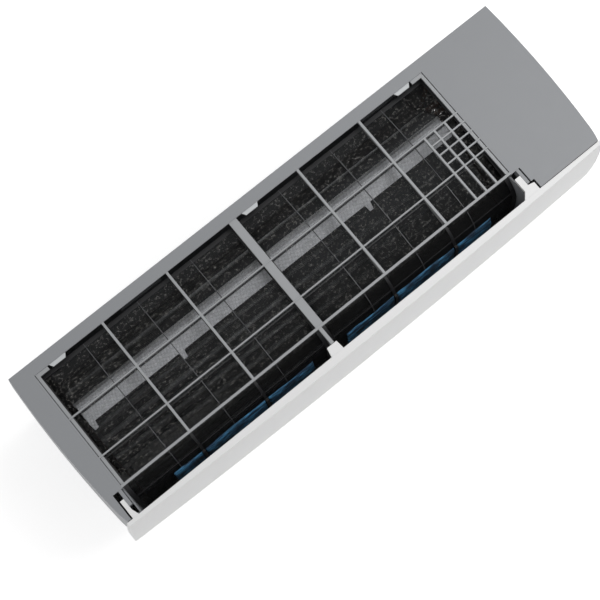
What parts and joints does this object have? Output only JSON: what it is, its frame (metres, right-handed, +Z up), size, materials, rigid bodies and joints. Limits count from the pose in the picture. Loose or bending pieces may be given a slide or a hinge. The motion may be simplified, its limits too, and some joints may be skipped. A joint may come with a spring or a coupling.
{
  "type": "mini split indoor unit",
  "caption": "Wall-hung indoor unit of a split air conditioner with an open top grille, removable mesh filters, a hinged white front panel, louver, vanes, coil and cross-flow fan",
  "frame": {"origin": "on the wall plane, halfway across the unit and halfway up it", "axes": "X to the right as seen from the room, Y back into the wall, Z up"},
  "size_m": [0.8227, 0.2542, 0.2958],
  "materials": {
    "board_green": "printed board",
    "box_black": "flame-retardant plastic",
    "bush_bronze": "sintered bronze",
    "case_grey": "moulded ABS, light grain",
    "catch_grey": "moulded plastic, smooth",
    "chassis_plastic": "dark moulded plastic",
    "copper": "drawn copper tube",
    "fan_dark": "glass-filled plastic",
    "filter_black": "black moulded frame",
    "fin_aluminium": "coated fin stock",
    "galvanised": "galvanised sheet",
    "mesh_black": "woven filter mesh",
    "motor_resin": "moulded resin",
    "nut_brass": "machined brass",
    "pan_white": "foamed light plastic",
    "panel_white": "glossy white moulding",
    "rubber_black": "moulded rubber",
    "steel": "ground steel",
    "strip_blue": "blue pleated strip",
    "window_tint": "tinted translucent plastic"
  },
  "bodies": {
    "unit": {"bearing_bush": "bush_bronze", "bearing_holder": "rubber_black", "case_screws": "steel", "coil_bends": "copper", "coil_end_plates": "galvanised", "coil_front_lower": "fin_aluminium", "coil_front_upper": "fin_aluminium", "coil_rear": "fin_aluminium", "coil_ridge_plate": "galvanised", "control_board": "board_green", "control_box": "box_black", "control_box_cover": "galvanised", "display_board": "board_green", "drain_pan": "pan_white", "drain_spigot": "chassis_plastic", "fan_motor": "motor_resin", "filter_catches": "catch_grey", "flare_nuts": "nut_brass", "front_case": "case_grey", "gas_pipe": "copper", "hinge_seats": "case_grey", "intake_grille": "case_grey", "liquid_pipe": "copper", "louver_motor": "galvanised", "motor_clamp": "chassis_plastic", "motor_rings": "rubber_black", "rear_chassis": "chassis_plastic", "receiver_window": "window_tint", "terminal_block": "box_black", "terminal_cover": "case_grey"},
    "fan": {"cross_flow_fan": "fan_dark", "fan_journal": "steel", "motor_shaft": "steel", "hub_screw": "steel"},
    "panel": {"front_panel": "panel_white"},
    "louver": {"main_louver": "panel_white"},
    "left_filter": {"filter_frame_left": "filter_black", "filter_mesh_left": "mesh_black", "purifying_strip_left": "strip_blue"},
    "right_filter": {"filter_frame_right": "filter_black", "filter_mesh_right": "mesh_black", "purifying_strip_right": "strip_blue"},
    "button": {"auto_button": "panel_white"},
    "left_vane_1_body": {"left_vane_1": "fan_dark"},
    "left_vane_2_body": {"left_vane_2": "fan_dark"},
    "left_vane_3_body": {"left_vane_3": "fan_dark"},
    "left_vane_4_body": {"left_vane_4": "fan_dark"},
    "left_vane_5_body": {"left_vane_5": "fan_dark"},
    "left_bar": {"left_link_bar": "fan_dark"},
    "right_vane_1_body": {"right_vane_1": "fan_dark"},
    "right_vane_2_body": {"right_vane_2": "fan_dark"},
    "right_vane_3_body": {"right_vane_3": "fan_dark"},
    "right_vane_4_body": {"right_vane_4": "fan_dark"},
    "right_vane_5_body": {"right_vane_5": "fan_dark"},
    "right_bar": {"right_link_bar": "fan_dark"}
  },
  "joints": [
    {"name": "fan_spin", "type": "hinge", "parent": "unit", "child": "fan", "pos_m": [0, -0.108, -0.005], "axis": [1, 0, 0], "continuous": true},
    {"name": "panel_hinge", "type": "hinge", "parent": "unit", "child": "panel", "pos_m": [0, -0.218, 0.144], "axis": [-1, 0, 0], "range_deg": [0, 60]},
    {"name": "louver_hinge", "type": "hinge", "parent": "unit", "child": "louver", "pos_m": [0, -0.206, -0.1], "axis": [1, 0, 0], "range_deg": [0, 95]},
    {"name": "left_vane_1_swing", "type": "hinge", "parent": "unit", "child": "left_vane_1_body", "pos_m": [-0.308, -0.1272, -0.10403], "axis": [0, -0.4792, 0.8777], "range_deg": [-30, 30]},
    {"name": "left_vane_2_swing", "type": "hinge", "parent": "unit", "child": "left_vane_2_body", "pos_m": [-0.252, -0.1272, -0.10403], "axis": [0, -0.4792, 0.8777], "range_deg": [-30, 30]},
    {"name": "left_vane_3_swing", "type": "hinge", "parent": "unit", "child": "left_vane_3_body", "pos_m": [-0.196, -0.1272, -0.10403], "axis": [0, -0.4792, 0.8777], "range_deg": [-30, 30]},
    {"name": "left_vane_4_swing", "type": "hinge", "parent": "unit", "child": "left_vane_4_body", "pos_m": [-0.14, -0.1272, -0.10403], "axis": [0, -0.4792, 0.8777], "range_deg": [-30, 30]},
    {"name": "left_vane_5_swing", "type": "hinge", "parent": "unit", "child": "left_vane_5_body", "pos_m": [-0.084, -0.1272, -0.10403], "axis": [0, -0.4792, 0.8777], "range_deg": [-30, 30]},
    {"name": "left_bar_slide", "type": "slide", "parent": "unit", "child": "left_bar", "axis": [-1, 0, 0], "range_m": [-0.0083, 0.0083]},
    {"name": "right_vane_1_swing", "type": "hinge", "parent": "unit", "child": "right_vane_1_body", "pos_m": [0, -0.1272, -0.10403], "axis": [0, -0.4792, 0.8777], "range_deg": [-30, 30]},
    {"name": "right_vane_2_swing", "type": "hinge", "parent": "unit", "child": "right_vane_2_body", "pos_m": [0.056, -0.1272, -0.10403], "axis": [0, -0.4792, 0.8777], "range_deg": [-30, 30]},
    {"name": "right_vane_3_swing", "type": "hinge", "parent": "unit", "child": "right_vane_3_body", "pos_m": [0.112, -0.1272, -0.10403], "axis": [0, -0.4792, 0.8777], "range_deg": [-30, 30]},
    {"name": "right_vane_4_swing", "type": "hinge", "parent": "unit", "child": "right_vane_4_body", "pos_m": [0.168, -0.1272, -0.10403], "axis": [0, -0.4792, 0.8777], "range_deg": [-30, 30]},
    {"name": "right_vane_5_swing", "type": "hinge", "parent": "unit", "child": "right_vane_5_body", "pos_m": [0.224, -0.1272, -0.10403], "axis": [0, -0.4792, 0.8777], "range_deg": [-30, 30]},
    {"name": "right_bar_slide", "type": "slide", "parent": "unit", "child": "right_bar", "axis": [-1, 0, 0], "range_m": [-0.0083, 0.0083]},
    {"name": "left_filter_slide", "type": "slide", "parent": "unit", "child": "left_filter", "axis": [0, -0.9707, 0.2402], "range_m": [0, 0.005]},
    {"name": "right_filter_slide", "type": "slide", "parent": "unit", "child": "right_filter", "axis": [0, -0.9707, 0.2402], "range_m": [0, 0.005]},
    {"name": "button_press", "type": "slide", "parent": "unit", "child": "button", "axis": [0, 1, 0], "range_m": [0, 0.0015], "stiffness_N_per_m": 150}
  ],
  "couplings": [
    {"joint": "left_vane_2_swing", "follows": "left_vane_1_swing", "ratio": 1},
    {"joint": "left_vane_3_swing", "follows": "left_vane_1_swing", "ratio": 1},
    {"joint": "left_vane_4_swing", "follows": "left_vane_1_swing", "ratio": 1},
    {"joint": "left_vane_5_swing", "follows": "left_vane_1_swing", "ratio": 1},
    {"joint": "left_bar_slide", "follows": "left_vane_1_swing", "m_per_rad": 0.01555},
    {"joint": "right_vane_2_swing", "follows": "right_vane_1_swing", "ratio": 1},
    {"joint": "right_vane_3_swing", "follows": "right_vane_1_swing", "ratio": 1},
    {"joint": "right_vane_4_swing", "follows": "right_vane_1_swing", "ratio": 1},
    {"joint": "right_vane_5_swing", "follows": "right_vane_1_swing", "ratio": 1},
    {"joint": "right_bar_slide", "follows": "right_vane_1_swing", "m_per_rad": 0.01555}
  ]
}
